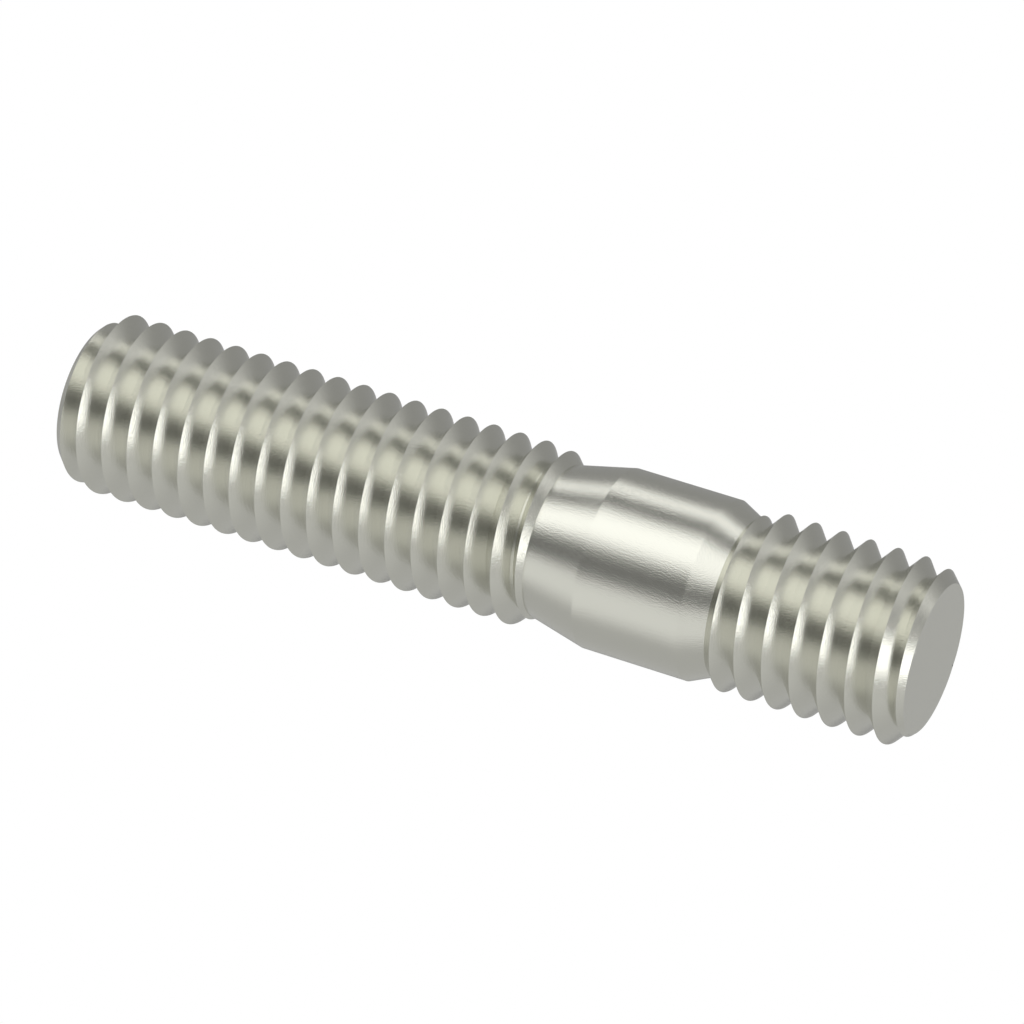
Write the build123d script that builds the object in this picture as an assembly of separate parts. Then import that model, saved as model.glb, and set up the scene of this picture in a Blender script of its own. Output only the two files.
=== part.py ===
"""Double-end stud bolt, M8 x 1.25, 40 mm long, turned and rolled from one bar.

Millimetres. The stud stands on its nut end: z = 0 is the flat face of that end and +Z runs up the axis, through the
long nut-end thread, a slim cone, the plain shank, a steep cone and the short thread that is screwed into a casting.
"""

from build123d import *
from math import ceil
import os

# Lengths along the axis, from the nut end up
nut_thread_length = 22.6
nut_cone_length = 2.6
shank_length = 4.8
tap_cone_length = 1.07
tap_thread_length = 8.93

# Diameters. The root of each thread is where its two straight flanks meet
thread_d = 8.0
nut_root_d = 6.27
nut_neck_d = 6.78
shank_d = 8.0
tap_neck_d = 6.98
tap_root_d = 6.49

# Thread, one start, right-handed
pitch = 1.25

# 45 degree bevels: one on each end face, and one where each thread runs out at its neck
end_bevel = 0.72

# Construction allowances: how far the hidden foot of a blank or cone lies under the thread's root, how far a blank
# stands clear of the crests before it trims them, and how many turns a screw has to spare past each end of its blank
sink = 0.05
spare = 1.0
spare_turns = 2

# Heights of the changes of section
nut_neck_z = nut_thread_length
shank_from_z = nut_neck_z + nut_cone_length
shank_to_z = shank_from_z + shank_length
tap_neck_z = shank_to_z + tap_cone_length
total_length = tap_neck_z + tap_thread_length


def turned(points):
    """A solid of revolution about Z, from (radius, height) points joined by straight lines."""
    with BuildSketch(Plane.XZ) as half_section:
        with BuildLine():
            Polyline(*points, close=True)
        make_face()
    return revolve(half_section.sketch, axis=Axis.Z)


def one_turn(radius, from_z):
    """One turn of a right-handed helix about Z that starts over +X."""
    return Edge.make_helix(pitch, pitch, radius, center=(0, 0, from_z))


def closing_step(root_r, groove_z):
    """The faces that close a screw where it stops: one turn of floor, and the section of a tooth standing on it."""
    axis_line = Edge.make_line((0, 0, groove_z), (0, 0, groove_z + pitch))
    section = [
        (0, 0, groove_z),
        (root_r, 0, groove_z),
        (thread_d / 2, 0, groove_z + pitch / 2),
        (root_r, 0, groove_z + pitch),
        (0, 0, groove_z + pitch),
    ]
    return [
        Face.make_surface_from_curves(axis_line, one_turn(root_r, groove_z)),
        Face(Wire.make_polygon(section, close=True)),
    ]


def screw(root_r, groove_z, turns):
    """A solid screw of whole turns. A groove starts over +X at groove_z, and each turn has a rising flank from the
    groove to the sharp crest and another from the crest into the next groove.
    """
    faces = closing_step(root_r, groove_z) + closing_step(root_r, groove_z + turns * pitch)
    for turn in range(turns):
        z = groove_z + turn * pitch
        crest = one_turn(thread_d / 2, z + pitch / 2)
        faces.append(Face.make_surface_from_curves(one_turn(root_r, z), crest))
        faces.append(Face.make_surface_from_curves(crest, one_turn(root_r, z + pitch)))
    return Solid(Shell(faces))


def threaded_bar(root_d, from_z, to_z):
    """A screw that is longer than from_z to to_z at both ends. Its crests face -Y at whole pitches above z = 0."""
    first_turn = int(from_z // pitch) - spare_turns
    turns = ceil(to_z / pitch) + spare_turns - first_turn
    return Rot(0, 0, -90) * screw(root_d / 2, (first_turn - 0.5) * pitch, turns)


def buried_radius(neck_d, root_d):
    """The radius of a hidden foot: just under the thread's root and under the neck."""
    return min(neck_d, root_d) / 2 - sink


def thread_end(face_z, neck_z, neck_d, root_d):
    """The blank of one threaded end: bevelled at its free face, bevelled again down to its neck.

    The second bevel goes on to just under the thread's root, where the shank's cone hides it.
    """
    face_r = thread_d / 2 - end_bevel
    neck_r = neck_d / 2
    outer_r = thread_d / 2 + spare
    buried_r = buried_radius(neck_d, root_d)
    inward = 1 if neck_z > face_z else -1
    return turned(
        [
            (0, face_z),
            (face_r, face_z),
            (outer_r, face_z + inward * (outer_r - face_r)),
            (outer_r, neck_z - inward * (outer_r - neck_r)),
            (buried_r, neck_z + inward * (neck_r - buried_r)),
            (0, neck_z + inward * (neck_r - buried_r)),
        ]
    )


def cone_foot(neck_z, neck_d, shank_z, root_d):
    """Where the cone from the shank through the neck reaches a point just under the thread's root."""
    buried_r = buried_radius(neck_d, root_d)
    reach = (neck_z - shank_z) / (shank_d - neck_d) * 2
    return (buried_r, neck_z + reach * (neck_d / 2 - buried_r))


nut_foot = cone_foot(nut_neck_z, nut_neck_d, shank_from_z, nut_root_d)
tap_foot = cone_foot(tap_neck_z, tap_neck_d, shank_to_z, tap_root_d)
shank = turned(
    [
        (0, nut_foot[1]),
        nut_foot,
        (shank_d / 2, shank_from_z),
        (shank_d / 2, shank_to_z),
        tap_foot,
        (0, tap_foot[1]),
    ]
)

nut_end = threaded_bar(nut_root_d, 0, nut_neck_z) & thread_end(0, nut_neck_z, nut_neck_d, nut_root_d)
tap_end = threaded_bar(tap_root_d, tap_neck_z, total_length) & thread_end(
    total_length, tap_neck_z, tap_neck_d, tap_root_d
)
stud_bolt = shank + nut_end + tap_end

os.makedirs("parts", exist_ok=True)
export_step(stud_bolt.solids()[0], "parts/stud_bolt.step")
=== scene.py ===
"""Looks of the double-end stud bolt: one satin steel body with its two helical threads, on a white floor.

Metres, in the part's own frame: the stud stands on its nut end at z = 0 and +Z runs up its axis.
"""

import math

import bmesh
import bpy
import numpy as np
from mathutils import Matrix, Vector


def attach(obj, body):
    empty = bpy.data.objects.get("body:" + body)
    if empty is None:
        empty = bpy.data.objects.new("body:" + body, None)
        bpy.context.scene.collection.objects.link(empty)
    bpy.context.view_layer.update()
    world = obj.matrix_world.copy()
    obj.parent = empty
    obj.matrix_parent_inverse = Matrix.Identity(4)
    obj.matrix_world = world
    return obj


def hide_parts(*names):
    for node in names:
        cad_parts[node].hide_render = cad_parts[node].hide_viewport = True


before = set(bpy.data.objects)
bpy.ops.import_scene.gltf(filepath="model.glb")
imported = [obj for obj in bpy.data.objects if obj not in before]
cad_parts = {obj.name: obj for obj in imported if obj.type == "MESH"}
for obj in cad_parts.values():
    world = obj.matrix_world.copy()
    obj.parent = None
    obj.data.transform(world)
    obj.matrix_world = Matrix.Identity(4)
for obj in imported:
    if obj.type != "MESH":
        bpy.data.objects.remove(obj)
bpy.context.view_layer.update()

MM = 0.001

# The stud, in millimetres, as its solid has it
STUD_LENGTH = 40.0
CREST_R = 4.0
PITCH = 1.25
END_BEVEL = 0.72
NUT_NECK_Z = 22.6
NUT_NECK_R = 3.39
NUT_ROOT_R = 3.135
SHANK_FROM_Z = 25.2
SHANK_TO_Z = 30.0
TAP_NECK_Z = 31.07
TAP_NECK_R = 3.49
TAP_ROOT_R = 3.245

# Worked out from them: the end faces' radius, a radius clear of the crests, and the middle of the shank
FACE_R = CREST_R - END_BEVEL
CLEAR_R = CREST_R + 1
SHANK_MIDDLE_Z = (SHANK_FROM_Z + SHANK_TO_Z) / 2

# Surface grid: columns round the stud, rows from a crest to a root, and turns that close each end face
COLUMNS = 256
ROWS_ON_FLANK = 4
FACE_TURNS = 2

# Least product of two gaps of opposite sign, in square millimetres, that counts as a crossing of two surfaces
LEAST_CROSSING = 1e-9

# Vertices nearer to each other than this, in metres, are merged
MERGE_WITHIN = 2e-7

# Shading of the flanks that face the tap end: the normal's tilt at the flank's foot, as a share of the
# flank's own, the power of the depth that it eases with, and how far below the upper end of its thread a
# flank is flat and eased in full
FOOT_TILT = 0.80
EASE_POWER = 0.8
FLAT_WITHIN = 1.6
EASED_FROM = 2.9

# Height over which a slope is measured, and within which a face belongs to an end face
STEP_Z = 1e-4


# Shape

def thread_root(z):
    """Radius where two flanks meet, which is less on the nut end than on the tap end."""
    return np.where(z < SHANK_MIDDLE_Z, NUT_ROOT_R, TAP_ROOT_R)


def phase_of(z, share):
    """Phase of the thread: the height in pitches less the share of a turn from -Y, modulo 1."""
    return (z / PITCH - share) % 1


def thread_radius(z, phase):
    """Radius of the thread: a straight-sided V whose crest lies at phase 0, in shares of the pitch."""
    from_crest = np.abs((phase + 0.5) % 1 - 0.5)
    return CREST_R - (CREST_R - thread_root(z)) * 2 * from_crest


def blank_radius(z):
    """Radius of the turned blank, by straight lines from height to height.

    It has a 45 degree bevel at each end face and where each thread runs out, two cones and the plain shank.
    Between the bevels it stands clear of the crests.
    """
    heights = [
        0,
        CLEAR_R - FACE_R,
        NUT_NECK_Z - (CLEAR_R - NUT_NECK_R),
        NUT_NECK_Z,
        SHANK_FROM_Z,
        SHANK_TO_Z,
        TAP_NECK_Z,
        TAP_NECK_Z + (CLEAR_R - TAP_NECK_R),
        STUD_LENGTH - (CLEAR_R - FACE_R),
        STUD_LENGTH,
    ]
    radii = [FACE_R, CLEAR_R, CLEAR_R, NUT_NECK_R, CREST_R, CREST_R, TAP_NECK_R, CLEAR_R, CLEAR_R, FACE_R]
    return np.interp(z, heights, radii)


def threaded(z):
    """True where the stud is threaded: below the nut end's neck and above the tap end's."""
    return (z < NUT_NECK_Z) | (z > TAP_NECK_Z)


def cone_radius(z):
    """Radius of the two cones, carried on past their necks into the grooves that run out there."""
    nut_rise = (CREST_R - NUT_NECK_R) / (SHANK_FROM_Z - NUT_NECK_Z)
    tap_fall = (CREST_R - TAP_NECK_R) / (TAP_NECK_Z - SHANK_TO_Z)
    nut_cone = NUT_NECK_R - nut_rise * (NUT_NECK_Z - z)
    tap_cone = TAP_NECK_R - tap_fall * (z - TAP_NECK_Z)
    return np.where(z < SHANK_MIDDLE_Z, nut_cone, tap_cone)


def radius(z, phase):
    """Radius of the stud: the blank's where it is plain.

    Where it is threaded it is the lesser of the blank and the thread, but no less than the cone.
    """
    blank = blank_radius(z)
    return np.where(threaded(z), np.maximum(np.minimum(blank, thread_radius(z, phase)), cone_radius(z)), blank)


def spiral_sheet():
    """The stud as one spiral sheet: heights and radii by row and column, each column's share of a turn, and
    the rows in one turn.

    The vertex of column a and row k starts at the height (first + k / rows in a turn + a / columns) * pitch.
    Rows climb with the thread, so each crest and root is a chain of edges, and the last column joins the
    first one turn up. Between crests and roots, vertices slide up or down their columns onto the kinks of
    the shape. Past the two end faces the sheet turns in along the face to the axis, where its vertices merge.
    """
    per_turn = 2 * ROWS_ON_FLANK
    first = -1 - FACE_TURNS
    turns = math.ceil(STUD_LENGTH / PITCH) + FACE_TURNS + 1 - first
    t = first + np.arange(turns * per_turn) / per_turn
    share = np.arange(COLUMNS) / COLUMNS
    z = (t[:, None] + share) * PITCH
    held = np.zeros(z.shape, dtype=bool)
    held[::ROWS_ON_FLANK] = True
    snap_to_levels(z, held)
    snap_to_crossings(z, share, held, blank_radius)
    snap_to_crossings(z, share, held, cone_radius)
    past = np.maximum(-z, z - STUD_LENGTH)
    inset = 1 - np.clip(past / (FACE_TURNS * PITCH), 0, 1)
    z = np.clip(z, 0, STUD_LENGTH)
    r = radius(z, phase_of(z, share)) * inset
    return z, r, share, per_turn


def snap_to_levels(z, held):
    """Moves a vertex of each column onto each level kink.

    At a neck or an end face it is the first one beyond the thread, and it is held there. Where the last one
    on the thread is held itself, the first one beyond goes half-way between it and the level, and the second
    one beyond goes onto the level.
    """
    column = np.arange(z.shape[1])
    for level in (SHANK_FROM_Z, SHANK_TO_Z):
        row = np.argmin(np.abs(z - level), axis=0)
        z[row, column] = level
    for level, beyond in ((0, -1), (NUT_NECK_Z, 1), (TAP_NECK_Z, -1), (STUD_LENGTH, 1)):
        last = np.sum(z < level, axis=0) - 1 if beyond > 0 else np.sum(z <= level, axis=0)
        fixed = held[last, column]
        z[last + beyond, column] = np.where(fixed, (z[last, column] + level) / 2, level)
        z[last + beyond * 2, column] = np.where(fixed, level, z[last + beyond * 2, column])
        held[last + beyond * (1 + fixed), column] = True
        held[last + beyond, column] = ~fixed


def snap_to_crossings(z, share, held, other_radius):
    """Moves a vertex of each quad side that crosses from the thread to another surface onto the crossing.

    The nearer of the side's two vertices moves, but one that is held stays, and the other one moves. Each
    vertex that moves is held from then on.
    """
    for low in range(len(z) - 1):
        pair, fixed = z[low:low + 2], held[low:low + 2]
        gap = thread_radius(pair, phase_of(pair, share)) - other_radius(pair)
        inside = threaded(pair).any(axis=0) & (pair[1] > 0) & (pair[0] < STUD_LENGTH)
        crossing = (gap[0] * gap[1] < -LEAST_CROSSING) & inside & ~fixed.all(axis=0)
        part = np.where(crossing, gap[0] / np.where(crossing, gap[0] - gap[1], 1), 0)
        place = pair[0] + part * (pair[1] - pair[0])
        lower = crossing & ~fixed[0] & ((part < 0.5) | fixed[1])
        upper = crossing & ~lower
        for row, moved in ((0, lower), (1, upper)):
            pair[row] = np.where(moved, place, pair[row])
            fixed[row] |= moved


def triangles(z, r, share, per_turn):
    """Splits each quad of the spiral sheet along the diagonal whose middle lies nearer to the true surface."""
    index = np.arange(z.size).reshape(z.shape)
    right = np.full_like(index, -1)
    right[:, :-1] = index[:, 1:]
    right[:-per_turn, -1] = index[per_turn:, 0]
    a, b, c, d = (corner.ravel() for corner in (index[:-1], right[:-1], right[1:], index[1:]))
    middle = np.tile(share + 0.5 / COLUMNS, len(z) - 1)
    whole = (b >= 0) & (c >= 0)
    a, b, c, d, middle = a[whole], b[whole], c[whole], d[whole], middle[whole]
    z, r = z.ravel(), r.ravel()

    def miss(first, second):
        """How far the middle of a diagonal lies from the true surface."""
        middle_z = (z[first] + z[second]) / 2
        return np.abs(radius(middle_z, phase_of(middle_z, middle)) - (r[first] + r[second]) / 2)

    rising = (miss(a, c) < miss(b, d))[:, None]
    lower = np.where(rising, np.stack([a, b, c], axis=1), np.stack([a, b, d], axis=1))
    upper = np.where(rising, np.stack([a, c, d], axis=1), np.stack([b, c, d], axis=1))
    return np.concatenate([lower, upper])


def stud_object():
    """The stud's mesh object, made from the spiral sheet."""
    z, r, share, per_turn = spiral_sheet()
    around = 2 * np.pi * share - np.pi / 2
    points = np.stack([r * np.cos(around), r * np.sin(around), z], axis=-1) * MM
    mesh = bpy.data.meshes.new("stud_bolt_body")
    mesh.from_pydata(points.reshape(-1, 3), [], triangles(z, r, share, per_turn))
    mesh.update()
    piece = bpy.data.objects.new("stud_bolt_body", mesh)
    bpy.context.scene.collection.objects.link(piece)
    return piece


def cleaned(piece):
    """Merges the vertices that fell together, and drops flat faces and loose vertices."""
    work = bmesh.new()
    work.from_mesh(piece.data)
    bmesh.ops.remove_doubles(work, verts=work.verts, dist=MERGE_WITHIN)
    bmesh.ops.dissolve_degenerate(work, edges=work.edges, dist=MERGE_WITHIN)
    loose = [v for v in work.verts if not v.link_faces]
    bmesh.ops.delete(work, geom=loose, context="VERTS")
    work.to_mesh(piece.data)
    work.free()
    return piece


def read(items, name, width, kind=np.float64):
    """One property of all items of a mesh collection, as an array with a row for each item."""
    values = np.empty(len(items) * width, dtype=kind)
    items.foreach_get(name, values)
    return values.reshape(-1, width) if width > 1 else values


def tilt_of(radius_at, z):
    """Tilt from level of the normal of a turned surface, from the slope of its radius."""
    return -np.arctan((radius_at(z + STEP_Z) - radius_at(z - STEP_Z)) / (2 * STEP_Z))


def shaded(piece):
    """Sets the normal of every face corner: the exact slope of its own surface, eased on hollow flanks.

    A normal lies in the plane through the axis and is given by its tilt from level. On the flanks that face
    the tap end the tilt is the flank's own at the crest, and falls with EASE_POWER of the depth to FOOT_TILT
    of it at the root, except near the upper end of each thread. The other flanks, bevels, cones, the shank
    and the end faces have the one tilt of their slope.
    """
    mesh = piece.data
    mesh.shade_smooth()
    face_of = np.repeat(np.arange(len(mesh.polygons)), read(mesh.polygons, "loop_total", 1, np.int32))
    corner = (read(mesh.vertices, "co", 3) / MM)[read(mesh.loops, "vertex_index", 1, np.int32)]
    centre = (read(mesh.polygons, "center", 3) / MM)[face_of]
    z = centre[:, 2]
    phase = phase_of(z, np.arctan2(centre[:, 1], centre[:, 0]) / (2 * np.pi) + 0.25)
    r = np.hypot(corner[:, 0], corner[:, 1])
    height = CREST_R - thread_root(z)
    flank_tilt = np.arctan(height / (PITCH / 2))
    depth = np.clip((CREST_R - r) / height, 0, 1)
    to_end = np.where(z < NUT_NECK_Z, NUT_NECK_Z - z, STUD_LENGTH - z)
    eased = (1 - FOOT_TILT) * np.interp(to_end, (FLAT_WITHIN, EASED_FROM), (0, 1)) * depth ** EASE_POWER
    thread_tilt = flank_tilt * np.where(phase < 0.5, 1 - eased, -1)
    lesser = np.minimum(blank_radius(z), thread_radius(z, phase))
    on_cone = threaded(z) & (lesser < cone_radius(z))
    on_thread = threaded(z) & (lesser < blank_radius(z))
    tilt = np.where(on_thread, thread_tilt, tilt_of(blank_radius, z))
    tilt = np.where(on_cone, tilt_of(cone_radius, z), tilt)
    tilt = np.where(z < STEP_Z, -np.pi / 2, np.where(z > STUD_LENGTH - STEP_Z, np.pi / 2, tilt))
    outward = corner[:, :2] / np.maximum(r, 1e-9)[:, None]
    normals = np.column_stack([outward * np.cos(tilt)[:, None], np.sin(tilt)])
    mesh.normals_split_custom_set(normals.tolist())
    return piece


# Materials

class Value:
    """A shader value, so that sums and products read as arithmetic. Each operator adds a Math node."""

    def __init__(self, tree, socket):
        self.tree = tree
        self.socket = socket

    def math(self, operation, *others):
        """A Math node of any operation on this value and others."""
        return self.tree.node("ShaderNodeMath", {"operation": operation}, dict(enumerate((self, *others))))

    def __add__(self, other):
        return self.math("ADD", other)

    __radd__ = __add__

    def __sub__(self, other):
        return self.math("SUBTRACT", other)

    def __rsub__(self, other):
        return self.tree.node("ShaderNodeMath", {"operation": "SUBTRACT"}, {0: other, 1: self})

    def __mul__(self, other):
        return self.math("MULTIPLY", other)

    __rmul__ = __mul__


class Tree:
    """A node tree with one method that adds any node."""

    def __init__(self, node_tree):
        self.nodes = node_tree.nodes
        self.links = node_tree.links
        self.nodes.clear()

    def node(self, kind, settings=None, inputs=None, out=0):
        """Adds a node, sets its settings, then sets or links its sockets, and returns one output as a Value."""
        made = self.nodes.new(kind)
        for name, value in (settings or {}).items():
            setattr(made, name, value)
        for name, value in (inputs or {}).items():
            if isinstance(value, Value):
                self.links.new(value.socket, made.inputs[name])
            else:
                made.inputs[name].default_value = value
        return Value(self, made.outputs[out]) if len(made.outputs) else made


# Steel: colour, and the least roughness and how much the grain adds to it
STEEL_COLOUR = (0.66, 0.66, 0.594, 1)
STEEL_ROUGHNESS = 0.18
GRAIN_ROUGHNESS = 0.08

# Noise cells in a metre across the axis and along it, for streaks that run up the stud and for an even grain
STREAK_CELLS = (12000, 12000, 1800)
GRAIN_CELLS = (21000, 21000, 21000)

# Turn of both patterns, so that their cells don't line up with the stud
PATTERN_TURN = (0.5, 0.3, 0.7)

# Relief of the finish: the weights of the streaks and the grain, its strength, and its height in metres
STREAK_RELIEF = 0.4
GRAIN_RELIEF = 0.9
RELIEF_STRENGTH = 0.32
RELIEF_HEIGHT = 0.00002


def noise(tree, place, cells, detail):
    """A noise with so many cells in a metre along each axis."""
    cell = tree.node("ShaderNodeMapping", {}, {"Vector": place, "Scale": cells, "Rotation": PATTERN_TURN})
    return tree.node("ShaderNodeTexNoise", {}, {"Vector": cell, "Scale": 1.0, "Detail": detail})


def satin_steel():
    """Turned and rolled steel with a satin finish, a shade warmer than neutral."""
    material = bpy.data.materials.new("satin_steel")
    material.use_nodes = True
    tree = Tree(material.node_tree)
    place = tree.node("ShaderNodeTexCoord", out="Object")
    streaks = noise(tree, place, STREAK_CELLS, 2.0)
    grain = noise(tree, place, GRAIN_CELLS, 0.0)
    rough = STEEL_ROUGHNESS + GRAIN_ROUGHNESS * grain
    relief = STREAK_RELIEF * streaks + GRAIN_RELIEF * grain
    bump = tree.node(
        "ShaderNodeBump", {}, {"Height": relief, "Strength": RELIEF_STRENGTH, "Distance": RELIEF_HEIGHT}
    )
    shader = tree.node(
        "ShaderNodeBsdfPrincipled",
        {},
        {"Base Color": STEEL_COLOUR, "Metallic": 1.0, "Roughness": rough, "Normal": bump},
    )
    tree.node("ShaderNodeOutputMaterial", {}, {"Surface": shader})
    return material


# Studio

# The camera in millimetres: how far back over -Y and how high it stands, the point that it looks at, its roll
# in degrees, and its lens on a 36 mm sensor. Its clipping distances are in metres
CAMERA_BACK = 221.93
CAMERA_HEIGHT = 99.578
CAMERA_AIM = (-0.627, 0.0, 20.2735)
CAMERA_ROLL = 107.2747
CAMERA_LENS = 193.63
SENSOR = 36.0
CLIP_FROM = 0.01
CLIP_TO = 10


def camera():
    """The camera over -Y, rolled so that the stud lies across the picture."""
    data = bpy.data.cameras.new("camera")
    data.sensor_width = SENSOR
    data.lens = CAMERA_LENS
    data.clip_start = CLIP_FROM
    data.clip_end = CLIP_TO
    made = bpy.data.objects.new("camera", data)
    bpy.context.scene.collection.objects.link(made)
    place = Vector((0, -CAMERA_BACK, CAMERA_HEIGHT)) * MM
    look = (Vector(CAMERA_AIM) * MM - place).normalized()
    level = look.to_track_quat("-Z", "Y").to_matrix().to_4x4()
    roll = Matrix.Rotation(math.radians(CAMERA_ROLL), 4, "Z")
    made.matrix_world = Matrix.Translation(place) @ level @ roll
    bpy.context.scene.camera = made


# Soft panels that stand round the upright stud. Each has its first edge and that edge's softness, its second
# edge and softness, all in degrees of azimuth, its level low down, its level high up, and how far its first
# edge leans back for each degree that it goes down. Azimuth 0 is over -Y, where the camera is, and it grows
# towards -X, the picture's top. Between the panels the studio is dark, and behind the stud it has one level.
PANELS = {
    "left_wall": (-165, 14, -108, 12, 0.54, 0.72, 0.0),
    "side": (-108, 12, -81, 12, 0.54, 0.70, 0.0),
    "fill": (-81, 20, -31, 18, 0.92, 0.66, 0.0),
    "key": (6.5, 28, 59.5, 20, 1.55, 0.75, 0.1),
    "rim": (84, 8, 105, 8, 1.36, 0.72, 0.0),
    "right_wall": (105, 12, 165, 14, 0.35, 0.80, 0.0),
}
GAP_LEVEL = 0.21
BACK_LEVEL = 0.52
BACK_FROM = 168
BACK_SOFT = 20

# Heights in degrees: the one at which no edge leans, where the panels' levels start and stop changing, and
# their top edge and its softness
LEAN_FROM = 20
PANELS_EVEN_TO = 28
PANELS_HIGH_AT = 60
PANELS_TOP = 62
PANELS_TOP_SOFT = 14

# The ceiling's level and the round light overhead
CEILING_LEVEL = 0.50
OVERHEAD_AZIMUTH = -46
OVERHEAD_HEIGHT = 76.4
OVERHEAD_RADIUS = 15.0
OVERHEAD_SOFT = 5
OVERHEAD_LEVEL = 1.7

# Light that comes up from below this height: its level on the key's side and on the other, and the azimuths
# between which it is the key's side, with their softness
BELOW_HEIGHT = -63
BELOW_LEVELS = (1.05, 0.40)
KEY_SIDE_FROM = 10
KEY_SIDE_TO = 150
KEY_SIDE_SOFT = 40


def step(tree, value, edge, soft):
    """0 below the edge and 1 above it, with a smooth rise as wide as soft, centred on the edge."""
    low, high = edge - soft / 2, edge + soft / 2
    return tree.node(
        "ShaderNodeMapRange",
        {"interpolation_type": "SMOOTHSTEP"},
        {"Value": value, "From Min": low, "From Max": high, "To Min": 0.0, "To Max": 1.0},
    )


def panels(tree, azimuth, height):
    """Level of the walls: each panel in its range of azimuth, dark gaps between them and one level behind."""
    raised = tree.node(
        "ShaderNodeMapRange", {}, {"Value": height, "From Min": PANELS_EVEN_TO, "From Max": PANELS_HIGH_AT}
    )
    level = GAP_LEVEL
    for low, low_soft, high, high_soft, level_low, level_high, lean in PANELS.values():
        inside = step(tree, azimuth + lean * (height - LEAN_FROM), low, low_soft)
        inside = inside * (1 - step(tree, azimuth, high, high_soft))
        level = level + (level_low * (1 - raised) + level_high * raised - GAP_LEVEL) * inside
    back = step(tree, azimuth.math("ABSOLUTE"), BACK_FROM, BACK_SOFT)
    return level * (1 - back) + BACK_LEVEL * back


def overhead(tree, direction):
    """Level of the round light overhead: a disc by the angle off its own direction."""
    a, h = math.radians(OVERHEAD_AZIMUTH), math.radians(OVERHEAD_HEIGHT)
    towards = (-math.sin(a) * math.cos(h), -math.cos(a) * math.cos(h), math.sin(h))
    facing = tree.node(
        "ShaderNodeVectorMath", {"operation": "DOT_PRODUCT"}, {0: direction, 1: towards}, out="Value"
    )
    off = facing.math("ARCCOSINE") * math.degrees(1)
    return OVERHEAD_LEVEL * (1 - step(tree, off, OVERHEAD_RADIUS, OVERHEAD_SOFT))


def studio():
    """The studio as a world: panels, light from below, a ceiling and a round light. The camera sees it white."""
    data = bpy.data.worlds.new("studio")
    data.use_nodes = True
    tree = Tree(data.node_tree)
    direction = tree.node("ShaderNodeTexCoord", out="Generated")
    split = tree.node("ShaderNodeSeparateXYZ", {}, {"Vector": direction})
    x, y, z = (Value(tree, socket) for socket in split.socket.node.outputs)
    azimuth = (0 - x).math("ARCTAN2", 0 - y) * math.degrees(1)
    height = z.math("ARCSINE") * math.degrees(1)
    level = panels(tree, azimuth, height)
    below = 1 - step(tree, height, BELOW_HEIGHT, PANELS_TOP_SOFT)
    near_key = step(tree, azimuth, KEY_SIDE_FROM, KEY_SIDE_SOFT)
    near_key = near_key * (1 - step(tree, azimuth, KEY_SIDE_TO, KEY_SIDE_SOFT))
    level = level * (1 - below) + (BELOW_LEVELS[0] * near_key + BELOW_LEVELS[1] * (1 - near_key)) * below
    above = step(tree, height, PANELS_TOP, PANELS_TOP_SOFT)
    level = level * (1 - above) + CEILING_LEVEL * above
    level = level + overhead(tree, direction)
    seen = tree.node("ShaderNodeLightPath", out="Is Camera Ray")
    strength = level * (1 - seen) + 1.0 * seen
    background = tree.node("ShaderNodeBackground", {}, {"Color": (1, 1, 1, 1), "Strength": strength})
    tree.node("ShaderNodeOutputWorld", {}, {"Surface": background})
    bpy.context.scene.world = data


FLOOR_RADIUS = 0.5
FLOOR_CORNERS = 64


def floor():
    """A plain white floor disc under the stud, which the metal doesn't mirror."""
    around = np.linspace(0, 2 * np.pi, FLOOR_CORNERS, endpoint=False)
    points = np.stack([FLOOR_RADIUS * np.cos(around), FLOOR_RADIUS * np.sin(around), 0 * around], axis=1)
    mesh = bpy.data.meshes.new("floor")
    mesh.from_pydata(points, [], [tuple(range(len(around)))])
    made = bpy.data.objects.new("floor", mesh)
    bpy.context.scene.collection.objects.link(made)
    material = bpy.data.materials.new("floor_white")
    material.use_nodes = True
    tree = Tree(material.node_tree)
    glow = tree.node("ShaderNodeEmission", {}, {"Color": (1, 1, 1, 1), "Strength": 1.0})
    tree.node("ShaderNodeOutputMaterial", {}, {"Surface": glow})
    mesh.materials.append(material)
    made.visible_glossy = False
    made.visible_diffuse = False


camera()
studio()
floor()
body = shaded(cleaned(stud_object()))
body.data.materials.append(satin_steel())
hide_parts("stud_bolt")
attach(body, "root")

bpy.context.scene.view_settings.view_transform = "Standard"
